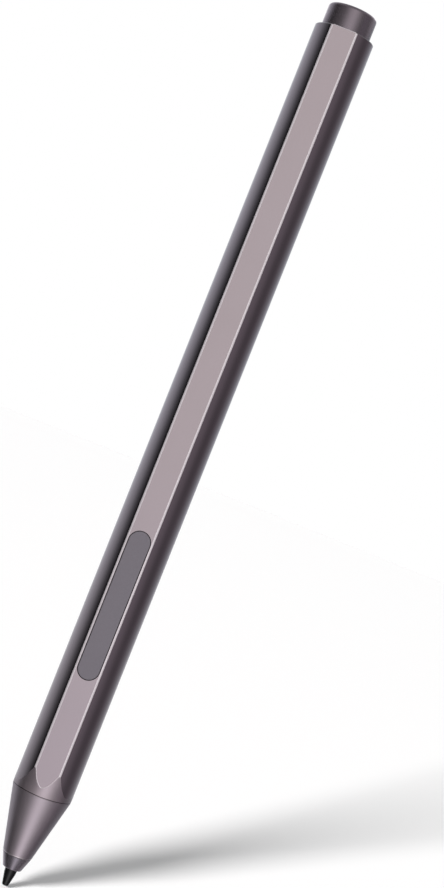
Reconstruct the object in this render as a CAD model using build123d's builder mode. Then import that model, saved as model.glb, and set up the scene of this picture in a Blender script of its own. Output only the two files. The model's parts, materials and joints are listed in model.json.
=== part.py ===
import os
from math import atan2, cos, degrees, pi, radians, sin, sqrt, tan

from build123d import *

# A stylus pen standing on its nib: Z runs up its axis from the writing point to the tail,
# and the flat along its side faces -Y. A "height" below is a distance from the axis towards
# the flat, and a "station" is a distance up the axis from the writing point.

# Driving dimensions, millimetres
overall_length = 146.5
nib_reveal = 2.93              # nib standing out of the nose
collar_length = 2.27
nose_length = 10.5
tail_reveal = 3.9              # tail button standing out of the barrel

cell_diameter = 8.2            # AAAA cell
cell_length = 42.2
cell_clearance = 0.19
barrel_wall = 0.54

flat_rise = 0.04               # flat beyond the barrel's round radius
flat_width = 4.09              # between the flat's corners, before the bevels
bevel_length = 0.175
flank_angle = 55.0             # where the flanks run into the round back, from the flat's normal
flare_angle = 8.0              # turned front end of the barrel, from the axis
flare_throat = 0.25            # plain length before it widens
flare_blend = 10.0             # radius between the two
flare_length = 4.5
seam_chamfer = 0.12
rim_chamfer = 0.15

slot_share = 0.4843            # of the tray's free length, taken by the side button's slot
magnet_share = 0.1674          # of the same, taken by the front magnet
slot_width = 3.65
button_gap = 0.1
button_recess = 0.03
button_lip = 0.33              # flange beyond the slot on each side
button_flange = 0.45
button_edge = 0.08
button_boss = 0.3              # foot of the button beyond the plunger it presses
side_travel = 0.25

nib_tip_width = 1.0
nib_tip_round = 0.3
nib_cone_end = 2.1
nib_cone_radius = 0.93
nib_radius = 1.0
nib_stem_radius = 0.75
nib_length = 14.3
shoulder_setback = 0.3         # nib's shoulder inside the collar's base
nib_seat = 0.2                 # free depth behind the nib's stem
nib_travel = 0.3
nib_play = 0.08
nib_spring_play = 0.5          # between the coil and the holder

collar_tip_radius = 1.53
collar_base_radius = 2.34
collar_edge = 0.1
nose_joint_step = 0.02         # collar stands this far inside the cone's front edge
nose_chamfer = 0.06            # round that edge
collar_step = 0.6              # collar's spigot inside its base
collar_spigot = 2.1
electrode_step = 0.35          # electrode's bore beyond the collar's spigot
electrode_wall = 0.42
nose_wall = 1.5                # round the pocket behind the face the holder rests on
spigot_length = 5.3            # nose cone inside the barrel
sensor_length = 3.0
sensor_chamfer = 0.3
sensor_boss = 0.5              # its narrower rear end
sensor_boss_step = 0.6
holder_setback = 3.7           # from the face the holder rests on to the seam
holder_flange = 0.9
holder_flange_play = 0.5       # between the flange and the pocket
holder_play = 0.25             # between the holder and the electrode
holder_lead = 0.3              # between the collar and the holder
holder_wall = 1.0              # holder behind the nib's seat
holder_pin_radius = 0.6

board_thickness = 0.8
board_rail = 0.62              # tray wall beside the board
switch_height = 1.2
switch_length = 3.5
switch_width = 3.0
plunger_radius = 0.7
plunger_reveal = 0.35
plunger_engage = 0.3           # plunger inside its switch
plunger_room = 0.2             # left below the tail plunger when it is pressed
component_room = 1.35          # above the board, under the cover
tray_depth = 2.5               # below the board
tray_wall = 1.2
screw_radius = 0.5
screw_head_radius = 0.95
screw_head = 0.55
screw_grip = 2.0               # thread below the board
screw_slot = 0.24
screw_boss = 0.65              # boss round the thread
screw_floor = 0.6              # cover under the screw's head
screw_wall = 0.7               # between a screw's pocket and the button's window
magnet_wall = 0.6              # between a screw's pocket and a magnet
window_margin = 0.8            # window beyond the button's flange, at its ends
window_play = 0.3              # the same at its sides
board_end_gap = 0.2
room_margin = 0.5              # cover's wall on each side of the board
trough_margin = 0.65           # tray's ledge under each side of the board
trough_end = 0.6               # the same under each end
tray_lip = 1.0                 # tray beyond the magnets
magnet_width = 3.0
chip_share = 0.4               # of the tray's depth, taken by the chips
shield_share = 0.55            # of the board behind the rear screw, taken by the radio shield
shield_margin = 0.4            # between the shield and the cover's wall
shield_gap = 0.25              # over the shield
shield_wall = 0.15
shield_round = 0.4
magnet_fill = 0.84             # of the height over the board's room, taken by a magnet

cell_spring_length = 3.5
cell_spring_radius = 2.6
cell_wire_radius = 0.2
cell_crimp = 0.35
cell_nub = 1.0                 # height of the cell's positive end
cell_nub_radius = 1.9
cell_nub_edge = 0.2
cell_gap = 0.7                 # room for the contact between the cell and the tail plug
contact_plate = 0.3
contact_margin = 0.9           # front contact inside the tray's outside
lead_thickness = 0.1
lead_width = 4.0
lead_play = 0.02               # between the lead and the bore, and the lead and the contact ring
lead_margin = 0.2              # tray's groove beyond the lead on each side
lead_room = 0.12               # between the lead and the tail plug
lead_step = 0.4                # between the lead's end and the plug's full width
lead_overlap = 5.0             # lead beside the tray
lead_reach = 3.5               # lead beside the tail plug
flex_width = 2.0
flex_thickness = 0.12
flex_slot = 0.25               # room for it in the cover
flex_overlap = 2.5             # sensor's lead on the board

cap_round = 0.6
cap_travel = 0.4
cap_depth = 3.7                # cap bore of the plug
cap_hollow = 3.4               # room for the spring inside the tail button
cap_wall = 0.9
cap_rest = 0.4                 # left under the tail button when it is pressed
plug_recess = 0.1
plug_length = 13.2
plug_web = 1.0
plug_wall = 0.55
plug_chamfer = 0.1
plug_rim = 0.22                # plug's wall round the tail button
disc_thickness = 1.0
rivet_radius = 0.8
rivet_head_radius = 1.6
rivet_gap = 0.01               # between the rivet and the tail board
tail_board_play = 0.06         # between the tail board and the plug
ring_setback = 1.9             # contact ring from the plug's front end
ring_width = 0.8
ring_split = 1.2
stem_radius = 1.2
clip_thickness = 0.4
clip_depth = 0.3
clip_width = 0.9               # clip beyond the stem
clip_mouth = 0.3               # clip's mouth narrower than the stem's neck
tail_spring_play = 0.6         # between the coil and the stem
tail_switch_height = 1.4
tail_plunger_reveal = 0.6
seal_section = 0.16
seal_play = 0.01               # between the seal and the bore
groove_play = 0.06             # between the seal and each side of its groove
seal_setback = 1.4             # from the plug's web
ring_thickness = 0.28

fit = 0.03                     # between pieces that are put together and stay
slide = 0.05                   # between pieces that move on each other
wire_radius = 0.15

# Stations and radii that follow
collar_end = nib_reveal + collar_length
seam = collar_end + nose_length
barrel_end = overall_length - tail_reveal
bore_radius = cell_diameter / 2 + cell_clearance
barrel_radius = bore_radius + barrel_wall
insert_radius = bore_radius - slide
cap_radius = insert_radius - plug_rim - slide
flat_height = barrel_radius + flat_rise
corner_half = flat_width / 2
spigot_end = seam + spigot_length
plug_top = barrel_end - plug_recess
plug_start = plug_top - plug_length
cell_end = plug_start - cell_gap
cell_start = cell_end - cell_length
tray_start = spigot_end + slide
tray_end = cell_start - cell_spring_length - contact_plate - 2 * slide
tray_length = tray_end - tray_start
screw_pocket = screw_head_radius + slide
screw_bay = magnet_wall + 2 * screw_pocket + screw_wall
button_bay = screw_bay + window_margin + button_lip
free_length = tray_length - 2 * (tray_lip + button_bay)
slot_length = slot_share * free_length
slot_centre = tray_start + tray_lip + magnet_share * free_length + button_bay + slot_length / 2


# Shapes used more than once
def turned(*outline, mode=Mode.ADD):
    # a solid turned round the axis from (radius, station) corners
    with BuildSketch(Plane.XZ) as half:
        with BuildLine():
            Polyline(*outline, close=True)
        make_face()
    revolve(half.sketch, axis=Axis.Z, mode=mode)


def sleeve(outer, inner, start, end, mode=Mode.ADD):
    with BuildSketch(Plane.XY.offset(start)) as ring:
        Circle(outer)
        if inner:
            Circle(inner, mode=Mode.SUBTRACT)
    extrude(ring.sketch, amount=end - start, mode=mode)


def block(width, low, high, start, end, across=0, mode=Mode.ADD):
    # a bar between two heights and two stations
    with Locations((across, -(low + high) / 2, (start + end) / 2)):
        Box(width, high - low, end - start, mode=mode)


def post(radius, low, high, station, mode=Mode.ADD):
    # a round post standing towards the flat
    with BuildSketch(Plane.XZ.offset(low)) as foot:
        with Locations((0, station)):
            Circle(radius)
    extrude(foot.sketch, amount=high - low, mode=mode)


def stadium(length, width, low, high, station, mode=Mode.ADD):
    # a long rounded bar standing towards the flat
    with BuildSketch(Plane.XZ.offset(low)) as outline:
        with Locations((0, station)):
            SlotOverall(length, width, rotation=90)
    extrude(outline.sketch, amount=high - low, mode=mode)


def chord_height(radius, width):
    return sqrt(radius**2 - (width / 2) ** 2)


def coil(mean_radius, wire, start, end, turns):
    # a wire wound up the axis; each quarter turn is two arcs that share a tangent
    rise = (end - start - 2 * wire) / turns

    def point(quarter):
        turn = quarter * pi / 2
        height = start + wire + rise * quarter / 4
        return Vector(mean_radius * cos(turn), mean_radius * sin(turn), height)

    def heading(quarter):
        turn = quarter * pi / 2
        return Vector(-mean_radius * sin(turn), mean_radius * cos(turn), rise / (2 * pi)).normalized()

    with BuildLine() as path:
        for quarter in range(4 * turns):
            first, last = point(quarter), point(quarter + 1)
            leave, arrive = heading(quarter), heading(quarter + 1)
            chord, both = last - first, leave + arrive
            bend = 2 * (1 - leave.dot(arrive))
            reach = (sqrt(chord.dot(both) ** 2 + bend * chord.dot(chord)) - chord.dot(both)) / bend
            middle = (first + last + (leave - arrive) * reach) * 0.5
            TangentArc(first, middle, tangent=leave)
            TangentArc(middle, last, tangent=last - arrive * reach - middle)
    with BuildSketch(Plane(origin=point(0), z_dir=heading(0))) as section:
        Circle(wire)
    sweep(section.sketch, path=path.line)
    print("least gap between turns:", round(rise - 2 * wire, 2))


# Barrel: the flat, a bevel and a curved flank on each side, and a round back
normal = (sin(radians(flank_angle)), cos(radians(flank_angle)))
corner_reach = corner_half * normal[0] + flat_height * normal[1]
flank_offset = (corner_half**2 + flat_height**2 - barrel_radius**2) / (2 * (barrel_radius - corner_reach))
flank_radius = barrel_radius + flank_offset
flank_centre = (-flank_offset * normal[0], -flank_offset * normal[1])
corner_turn = atan2(corner_half - flank_centre[0], flat_height - flank_centre[1])


def flank_point(turn):
    across = flank_centre[0] + flank_radius * sin(turn)
    height = flank_centre[1] + flank_radius * cos(turn)
    return across, -height


bevel_turn = corner_turn + bevel_length / flank_radius
flank_start = flank_point(bevel_turn)
flank_middle = flank_point((bevel_turn + radians(flank_angle)) / 2)
flank_end = flank_point(radians(flank_angle))
flare_turn = radians(flare_angle)

with BuildPart() as barrel:
    with BuildSketch(Plane.XY.offset(seam)):
        with BuildLine():
            flat_edge = (corner_half - bevel_length, -flat_height)
            Line((0, -flat_height), flat_edge)
            Line(flat_edge, flank_start)
            ThreePointArc(flank_start, flank_middle, flank_end)
            back_side = (barrel_radius, 0)
            ThreePointArc(flank_end, back_side, (0, barrel_radius))
            mirror(about=Plane.YZ)
        make_face()
    extrude(amount=barrel_end - seam)
    rim = barrel.faces().sort_by(Axis.Z)[-1]
    chamfer(rim.edges(), rim_chamfer)
    with BuildSketch(Plane.XZ):
        with BuildLine():
            root = (barrel_radius - seam_chamfer, seam)
            foot = (barrel_radius - fit / 2, seam + seam_chamfer)
            throat = (foot[0], foot[1] + flare_throat)
            swell_out = flare_blend * (1 - cos(flare_turn))
            swell = (throat[0] + swell_out, throat[1] + flare_blend * sin(flare_turn))
            crest = (swell[0] + flare_length * tan(flare_turn), swell[1] + flare_length)
            outside = 2 * barrel_radius
            Polyline(root, foot, throat)
            TangentArc(throat, swell, tangent=(0, 1))
            Polyline(swell, crest, (outside, crest[1]), (outside, seam), root)
        make_face()
    revolve(axis=Axis.Z, mode=Mode.SUBTRACT)
    sleeve(bore_radius, 0, seam, barrel_end, mode=Mode.SUBTRACT)
    stadium(slot_length, slot_width, bore_radius / 2, 2 * flat_height, slot_centre, mode=Mode.SUBTRACT)

# Nose: cone, collar, electrode sleeve and nib
cone_radius = barrel_radius - fit
collar_seat = collar_end + collar_spigot
collar_spigot_radius = collar_base_radius - collar_step
holder_stop = seam - holder_setback
electrode_bore = collar_spigot_radius + electrode_step
electrode_inside = electrode_bore - fit - electrode_wall
pocket_radius = cone_radius - nose_wall
sensor_face = spigot_end - sensor_length
nib_bore = nib_radius + nib_play

with BuildPart() as nose_cone:
    turned(
        (collar_spigot_radius + fit, collar_end),
        (collar_base_radius + nose_joint_step - nose_chamfer, collar_end),
        (collar_base_radius + nose_joint_step, collar_end + nose_chamfer),
        (cone_radius, seam - fit - seam_chamfer),
        (cone_radius - seam_chamfer, seam - fit),
        (insert_radius, seam - fit),
        (insert_radius, spigot_end),
        (pocket_radius, spigot_end),
        (pocket_radius, holder_stop),
        (electrode_bore, holder_stop),
        (electrode_bore, collar_seat),
        (collar_spigot_radius + fit, collar_seat),
    )

with BuildPart() as nose_collar:
    turned(
        (nib_bore, nib_reveal),
        (collar_tip_radius, nib_reveal),
        (collar_base_radius, collar_end - fit),
        (collar_spigot_radius, collar_end - fit),
        (collar_spigot_radius, collar_seat),
        (nib_bore, collar_seat),
    )
    tip_edges = nose_collar.edges().filter_by(GeomType.CIRCLE).group_by(Axis.Z)[0]
    fillet(tip_edges.sort_by(SortBy.RADIUS)[-1], collar_edge)

with BuildPart() as tip_electrode:
    sleeve(electrode_bore - fit, electrode_inside, collar_seat + fit, holder_stop - 2 * slide)

with BuildPart() as nib:
    shoulder = collar_end - shoulder_setback
    with BuildSketch(Plane.XZ) as nib_outline:
        with BuildLine():
            Polyline(
                (0, 0),
                (nib_tip_width / 2, 0),
                (nib_cone_radius, nib_cone_end),
                (nib_radius, nib_reveal),
                (nib_radius, shoulder),
                (nib_stem_radius, shoulder),
                (nib_stem_radius, nib_length),
                (0, nib_length),
                close=True,
            )
        make_face()
        fillet(nib_outline.vertices().group_by(Axis.Y)[0].sort_by(Axis.X)[-1], nib_tip_round)
    revolve(axis=Axis.Z)

# Behind the nib: holder, return spring and force cell
holder_flange_radius = pocket_radius - holder_flange_play
flange_start = holder_stop + fit
flange_end = flange_start + holder_flange

with BuildPart() as nib_holder:
    seat_end = nib_length + nib_seat
    hub_end = seat_end + holder_wall
    holder_start = collar_seat + holder_lead
    holder_radius = electrode_inside - holder_play
    turned(
        (nib_stem_radius + fit, holder_start),
        (holder_radius, holder_start),
        (holder_radius, flange_start),
        (holder_flange_radius, flange_start),
        (holder_flange_radius, flange_end),
        (holder_radius, flange_end),
        (holder_radius, hub_end),
        (holder_pin_radius, hub_end),
        (holder_pin_radius, sensor_face - nib_travel - slide),
        (0, sensor_face - nib_travel - slide),
        (0, seat_end),
        (nib_stem_radius + fit, seat_end),
    )

with BuildPart() as nib_spring:
    spring_radius = holder_radius + nib_spring_play + wire_radius
    coil(spring_radius, wire_radius, flange_end + fit, sensor_face - fit, turns=5)

with BuildPart() as pressure_sensor:
    sensor_radius = pocket_radius - nib_play
    turned(
        (0, sensor_face),
        (sensor_radius - sensor_chamfer, sensor_face),
        (sensor_radius, sensor_face + sensor_chamfer),
        (sensor_radius, spigot_end - sensor_boss),
        (sensor_radius - sensor_boss_step, spigot_end - sensor_boss),
        (sensor_radius - sensor_boss_step, spigot_end),
        (0, spigot_end),
    )

# Board, tray and cover
board_start = tray_start + tray_wall + board_end_gap
board_end = tray_end - tray_wall - board_end_gap
board_width = 2 * (chord_height(insert_radius, 2 * board_thickness) - board_rail)
cover_floor = board_thickness + fit
room_top = board_thickness + component_room
room_width = board_width - 2 * room_margin
trough_width = board_width - 2 * trough_margin
magnet_top = chord_height(insert_radius, magnet_width) - fit
magnet_floor = magnet_top - magnet_fill * (magnet_top - room_top)
flange_width = slot_width + 2 * button_lip
flange_length = slot_length + 2 * button_lip
flange_top = chord_height(bore_radius, flange_width) - slide
window_width = flange_width + 2 * window_play
window_start = slot_centre - flange_length / 2 - window_margin
window_end = slot_centre + flange_length / 2 + window_margin
screw_reach = screw_wall + screw_pocket
screw_stations = (window_start - screw_reach, window_end + screw_reach)
screw_seat = room_top + screw_floor
boss_radius = screw_radius + screw_boss
magnet_spans = (
    (tray_start + tray_lip, screw_stations[0] - screw_pocket - magnet_wall),
    (screw_stations[1] + screw_pocket + magnet_wall, tray_end - tray_lip),
)
lead_radius = bore_radius - lead_play
lead_half = degrees(lead_width / lead_radius / 2)
lead_start = tray_end - lead_overlap

with BuildPart() as lower_tray:
    sleeve(insert_radius, 0, tray_start, tray_end)
    block(4 * insert_radius, board_thickness, 2 * insert_radius, tray_start, tray_end, mode=Mode.SUBTRACT)
    channel = board_width + 2 * slide
    block(channel, 0, board_thickness, board_start - 2 * slide, board_end + 2 * slide, mode=Mode.SUBTRACT)
    block(trough_width, -tray_depth, 0, board_start + trough_end, board_end - trough_end, mode=Mode.SUBTRACT)
    for station in screw_stations:
        post(boss_radius, -tray_depth, 0, station)
        post(screw_radius, -screw_grip, 0, station, mode=Mode.SUBTRACT)
    groove_floor = chord_height(insert_radius, lead_width) - 2 * slide
    block(lead_width + 2 * lead_margin, -2 * insert_radius, -groove_floor, lead_start - 2 * slide, tray_end,
          mode=Mode.SUBTRACT)

with BuildPart() as board_cover:
    sleeve(insert_radius, 0, tray_start, tray_end)
    block(4 * insert_radius, -2 * insert_radius, cover_floor, tray_start, tray_end, mode=Mode.SUBTRACT)
    block(room_width, cover_floor, room_top, board_start, board_end, mode=Mode.SUBTRACT)
    for station in screw_stations:
        post(boss_radius, cover_floor, room_top, station)
        post(screw_radius + slide, cover_floor, screw_seat, station, mode=Mode.SUBTRACT)
        post(screw_pocket, screw_seat, 2 * insert_radius, station, mode=Mode.SUBTRACT)
    for start, end in magnet_spans:
        block(magnet_width + 2 * fit, magnet_floor - fit, 2 * insert_radius, start - fit, end + fit,
              mode=Mode.SUBTRACT)
    block(window_width, cover_floor, 2 * insert_radius, window_start, window_end, mode=Mode.SUBTRACT)
    block(flex_width + 4 * slide, cover_floor, cover_floor + flex_slot, tray_start, board_start,
          mode=Mode.SUBTRACT)

with BuildPart() as main_board:
    block(board_width, 0, board_thickness, board_start, board_end)
    for station in screw_stations:
        post(screw_radius + slide, 0, board_thickness, station, mode=Mode.SUBTRACT)

with BuildPart() as cover_screws:
    for station in screw_stations:
        post(screw_radius, -screw_grip, screw_seat, station)
        post(screw_head_radius, screw_seat, screw_seat + screw_head, station)
        block(2 * screw_head_radius, screw_seat + screw_head / 2, screw_seat + screw_head,
              station - screw_slot / 2, station + screw_slot / 2, mode=Mode.SUBTRACT)

with BuildPart() as board_chips:
    chip_widths = (0.74, 0.42, 0.6)                 # as shares of the trough
    for number, share in enumerate(chip_widths):
        width = share * trough_width
        middle = slot_centre + (number - 1) * slot_length / 3
        block(width, -tray_depth * chip_share, 0, middle - width / 2, middle + width / 2)
    for side in (-1, 1):
        for end in (-1, 1):
            middle = slot_centre + end * slot_length * 0.3
            half = switch_width / 6
            block(2 * half, board_thickness, board_thickness + half, middle - half, middle + half,
                  across=side * switch_width / 2)

with BuildPart() as radio_shield:
    shield_end = board_end - tray_wall
    shield_start = shield_end - shield_share * (board_end - screw_stations[1])
    shield_top = room_top - shield_gap
    shield_width = room_width - 2 * shield_margin
    block(shield_width, board_thickness, shield_top, shield_start, shield_end)
    fillet(radio_shield.edges().filter_by(Axis.Y), shield_round)
    block(shield_width - 2 * shield_wall, board_thickness, shield_top - shield_wall,
          shield_start + shield_wall, shield_end - shield_wall, mode=Mode.SUBTRACT)

with BuildPart() as flat_magnets:
    for start, end in magnet_spans:
        block(magnet_width, magnet_floor, magnet_top, start, end)

with BuildPart() as sensor_flex:
    flex_low = board_thickness + fit
    block(flex_width, flex_low, flex_low + flex_thickness, spigot_end + fit, board_start + flex_overlap)

# Side button and the switch below it
switch_top = board_thickness + switch_height
plunger_top = switch_top + plunger_reveal

with BuildPart() as side_switch:
    switch_start = slot_centre - switch_length / 2
    block(switch_width, board_thickness, switch_top, switch_start, switch_start + switch_length)
    plunger_hole = 2 * side_travel + plunger_engage
    post(plunger_radius + slide, switch_top - plunger_hole, switch_top, slot_centre, mode=Mode.SUBTRACT)

with BuildPart() as side_switch_plunger:
    post(plunger_radius, switch_top - plunger_engage, plunger_top, slot_centre)

with BuildPart() as side_button:
    cap_length = slot_length - 2 * button_gap
    cap_width = slot_width - 2 * button_gap
    face_height = flat_height - button_recess
    stadium(cap_length, cap_width, flange_top - button_flange, face_height, slot_centre)
    fillet(side_button.faces().sort_by(Axis.Y)[0].edges(), button_edge)
    stadium(flange_length, flange_width, flange_top - button_flange, flange_top, slot_centre)
    post(plunger_radius + button_boss, plunger_top + fit, flange_top, slot_centre)

# Cell, its front contact and the lead along the bore
with BuildPart() as front_contact:
    sleeve(insert_radius - contact_margin, 0, tray_end + fit, tray_end + contact_plate)

with BuildPart() as battery_spring:
    coil(cell_spring_radius, cell_wire_radius, tray_end + contact_plate + fit, cell_start - fit, turns=3)

with BuildPart() as battery:
    cell_radius = cell_diameter / 2
    nub_start = cell_end - cell_nub
    turned(
        (0, cell_start),
        (cell_radius - cell_crimp, cell_start),
        (cell_radius, cell_start + cell_crimp),
        (cell_radius, nub_start - cell_crimp),
        (cell_radius - cell_crimp, nub_start),
        (cell_nub_radius, nub_start),
        (cell_nub_radius, cell_end - cell_nub_edge),
        (cell_nub_radius - cell_nub_edge, cell_end),
        (0, cell_end),
    )

lead_end = plug_start + lead_reach
with BuildPart() as tail_flex:
    with BuildSketch(Plane.XZ):
        with Locations((lead_radius - lead_thickness / 2, (lead_start + lead_end) / 2)):
            Rectangle(lead_thickness, lead_end - lead_start)
    revolve(axis=Axis.Z, revolution_arc=2 * lead_half)
tail_flex.part = tail_flex.part.rotate(Axis.Z, 90 - lead_half)

# Tail unit: plug, seal, contacts, board and switch
web_top = plug_top - cap_depth
web_bottom = web_top - plug_web
plug_radius = insert_radius
plug_low_radius = lead_radius - lead_thickness - lead_room
chamber_radius = plug_low_radius - plug_wall
disc_end = plug_start + disc_thickness
ring_start = plug_start + ring_setback
ring_end = ring_start + ring_width
ring_outer = lead_radius - lead_thickness - lead_play
ring_inner = ring_outer - ring_thickness
seal_station = web_bottom - seal_setback
seal_outer = bore_radius - seal_play
seal_radius = seal_outer - seal_section
groove_half = seal_section + groove_play
groove_root = seal_radius - seal_section - fit

with BuildPart() as tail_plug:
    turned(
        (chamber_radius, plug_start),
        (plug_low_radius, plug_start),
        (plug_low_radius, ring_start - slide),
        (ring_inner - slide, ring_start - slide),
        (ring_inner - slide, ring_end + slide),
        (plug_low_radius, ring_end + slide),
        (plug_low_radius, lead_end + lead_step),
        (plug_radius, lead_end + lead_step),
        (plug_radius, seal_station - groove_half),
        (groove_root, seal_station - groove_half),
        (groove_root, seal_station + groove_half),
        (plug_radius, seal_station + groove_half),
        (plug_radius, plug_top - plug_chamfer),
        (plug_radius - plug_chamfer, plug_top),
        (cap_radius + slide, plug_top),
        (cap_radius + slide, web_top),
        (stem_radius + slide, web_top),
        (stem_radius + slide, web_bottom),
        (chamber_radius, web_bottom),
    )

with BuildPart() as tail_seal:
    with BuildSketch(Plane.XZ):
        with Locations((seal_radius, seal_station)):
            Circle(seal_section)
    revolve(axis=Axis.Z)

with BuildPart() as contact_ring:
    sleeve(ring_outer, ring_inner, ring_start, ring_end)
    block(ring_split, 0, 2 * ring_outer, ring_start, ring_end, mode=Mode.SUBTRACT)

with BuildPart() as contact_disc:
    sleeve(chamber_radius - fit, rivet_radius + fit, plug_start, disc_end)

board_face = disc_end + fit
tail_board_top = board_face + board_thickness
with BuildPart() as plus_contact:
    turned(
        (0, cell_end + fit),
        (rivet_head_radius, cell_end + fit),
        (rivet_head_radius, plug_start - fit),
        (rivet_radius, plug_start - fit),
        (rivet_radius, board_face - rivet_gap),
        (0, board_face - rivet_gap),
    )

with BuildPart() as tail_board:
    sleeve(chamber_radius - tail_board_play, 0, board_face, tail_board_top)

tail_switch_top = tail_board_top + tail_switch_height
tail_plunger_top = tail_switch_top + tail_plunger_reveal
with BuildPart() as tail_switch:
    block(switch_width, -switch_width / 2, switch_width / 2, tail_board_top, tail_switch_top)
    plunger_floor = tail_switch_top - plunger_engage - cap_travel - plunger_room
    sleeve(plunger_radius + slide, 0, plunger_floor, tail_switch_top, mode=Mode.SUBTRACT)

with BuildPart() as tail_switch_plunger:
    sleeve(plunger_radius, 0, tail_switch_top - plunger_engage, tail_plunger_top)

with BuildPart() as tail_chip:
    chip_low = switch_width / 2 + 4 * slide
    chip_width = (chamber_radius - chip_low) * 2 / 3
    block(1.5 * chip_width, chip_low, chip_low + chip_width, tail_board_top, tail_board_top + chip_width / 2)

# Tail button, its spring and clip
cap_bottom = web_top + cap_travel + cap_rest
spring_seat = cap_bottom + cap_hollow
clip_end = web_bottom - fit
clip_start = clip_end - clip_thickness
clip_bore = stem_radius - clip_depth
with BuildPart() as tail_button:
    turned(
        (0, tail_plunger_top + fit),
        (stem_radius, tail_plunger_top + fit),
        (stem_radius, clip_start - fit),
        (clip_bore, clip_start - fit),
        (clip_bore, clip_end + fit),
        (stem_radius, clip_end + fit),
        (stem_radius, spring_seat),
        (cap_radius - cap_wall, spring_seat),
        (cap_radius - cap_wall, cap_bottom),
        (cap_radius, cap_bottom),
        (cap_radius, overall_length),
        (0, overall_length),
    )
    fillet(tail_button.faces().sort_by(Axis.Z)[-1].edges(), cap_round)

with BuildPart() as tail_spring:
    coil(stem_radius + tail_spring_play + wire_radius, wire_radius, web_top + fit, spring_seat - fit,
         turns=4)

with BuildPart() as stem_clip:
    sleeve(stem_radius + clip_width, clip_bore + fit, clip_start, clip_end)
    block(2 * clip_bore - clip_mouth, 0, 4 * stem_radius, clip_start, clip_end, mode=Mode.SUBTRACT)

pieces = {
    "barrel": barrel,
    "nose_cone": nose_cone,
    "nose_collar": nose_collar,
    "tip_electrode": tip_electrode,
    "nib": nib,
    "nib_holder": nib_holder,
    "nib_spring": nib_spring,
    "pressure_sensor": pressure_sensor,
    "sensor_flex": sensor_flex,
    "lower_tray": lower_tray,
    "board_cover": board_cover,
    "main_board": main_board,
    "board_chips": board_chips,
    "radio_shield": radio_shield,
    "cover_screws": cover_screws,
    "side_switch": side_switch,
    "side_switch_plunger": side_switch_plunger,
    "side_button": side_button,
    "flat_magnets": flat_magnets,
    "front_contact": front_contact,
    "battery_spring": battery_spring,
    "battery": battery,
    "tail_flex": tail_flex,
    "tail_plug": tail_plug,
    "tail_seal": tail_seal,
    "contact_ring": contact_ring,
    "contact_disc": contact_disc,
    "plus_contact": plus_contact,
    "tail_board": tail_board,
    "tail_chip": tail_chip,
    "tail_switch": tail_switch,
    "tail_switch_plunger": tail_switch_plunger,
    "tail_button": tail_button,
    "tail_spring": tail_spring,
    "stem_clip": stem_clip,
}

os.makedirs("parts", exist_ok=True)
for name, piece in pieces.items():
    piece.part.label = name
    export_step(piece.part, f"parts/{name}.step")
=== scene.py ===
import json
import math

import bmesh
import bpy
from mathutils import Matrix, Vector


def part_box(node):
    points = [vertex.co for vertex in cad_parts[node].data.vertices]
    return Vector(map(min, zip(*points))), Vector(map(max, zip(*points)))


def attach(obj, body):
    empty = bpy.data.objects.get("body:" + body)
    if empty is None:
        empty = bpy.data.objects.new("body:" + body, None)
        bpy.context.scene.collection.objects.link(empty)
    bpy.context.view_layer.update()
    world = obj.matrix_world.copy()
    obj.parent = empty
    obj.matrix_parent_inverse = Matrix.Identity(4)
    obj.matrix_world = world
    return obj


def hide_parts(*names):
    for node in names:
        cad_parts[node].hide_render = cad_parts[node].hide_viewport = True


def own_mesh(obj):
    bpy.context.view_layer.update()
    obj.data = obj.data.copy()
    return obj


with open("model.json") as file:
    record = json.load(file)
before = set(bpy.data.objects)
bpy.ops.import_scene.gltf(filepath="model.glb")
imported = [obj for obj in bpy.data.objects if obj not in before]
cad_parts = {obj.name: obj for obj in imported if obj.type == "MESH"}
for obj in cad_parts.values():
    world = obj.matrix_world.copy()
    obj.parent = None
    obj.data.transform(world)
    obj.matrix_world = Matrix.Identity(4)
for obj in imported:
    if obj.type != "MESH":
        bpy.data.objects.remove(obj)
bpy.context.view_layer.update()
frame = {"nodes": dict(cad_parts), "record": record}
nodes = frame["nodes"]
mm = 0.001
weld = 0.000002                 # metres; points closer than this become one
fit = 0.03                      # millimetres between pieces that are put together and stay
print("frame loaded:", len(nodes), "nodes")


def corners(node):              # where the CAD puts a piece: lowest and highest corner in millimetres
    low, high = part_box(node)
    return low / mm, high / mm


barrelLow, barrelHigh = corners("barrel")
coneLow, coneHigh = corners("nose_cone")
collarLow, collarHigh = corners("nose_collar")
nibLow, nibHigh = corners("nib")
buttonLow, buttonHigh = corners("side_button")
capLow, capHigh = corners("tail_button")
clipLow, clipHigh = corners("stem_clip")
coilHigh = corners("tail_spring")[1]
cellLow, cellHigh = corners("battery")


# small modelling steps used by several pieces
def clearSelection():
    if bpy.context.object and bpy.context.object.mode != "OBJECT":
        bpy.ops.object.mode_set(mode="OBJECT")
    bpy.ops.object.select_all(action="DESELECT")


def activate(piece):            # the one selected object
    clearSelection()
    piece.select_set(True)
    bpy.context.view_layer.objects.active = piece


def pull(across, back, up):     # extrude what is selected, by millimetres
    shift = (across * mm, back * mm, up * mm)
    bpy.ops.mesh.extrude_region_move(TRANSFORM_OT_translate={"value": shift})


def selectBorders():            # the open edges
    bpy.ops.mesh.select_all(action="DESELECT")
    bpy.ops.mesh.select_mode(type="EDGE")
    bpy.ops.mesh.select_non_manifold()


def selectEdges(piece, wanted):   # in edit mode, the edges that pass a test
    activate(piece)
    bpy.ops.object.mode_set(mode="EDIT")
    bpy.ops.mesh.select_mode(type="EDGE")
    bpy.ops.mesh.select_all(action="DESELECT")
    grid = bmesh.from_edit_mesh(piece.data)
    for edge in grid.edges:
        edge.select = wanted(edge)
    bmesh.update_edit_mesh(piece.data)


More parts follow.
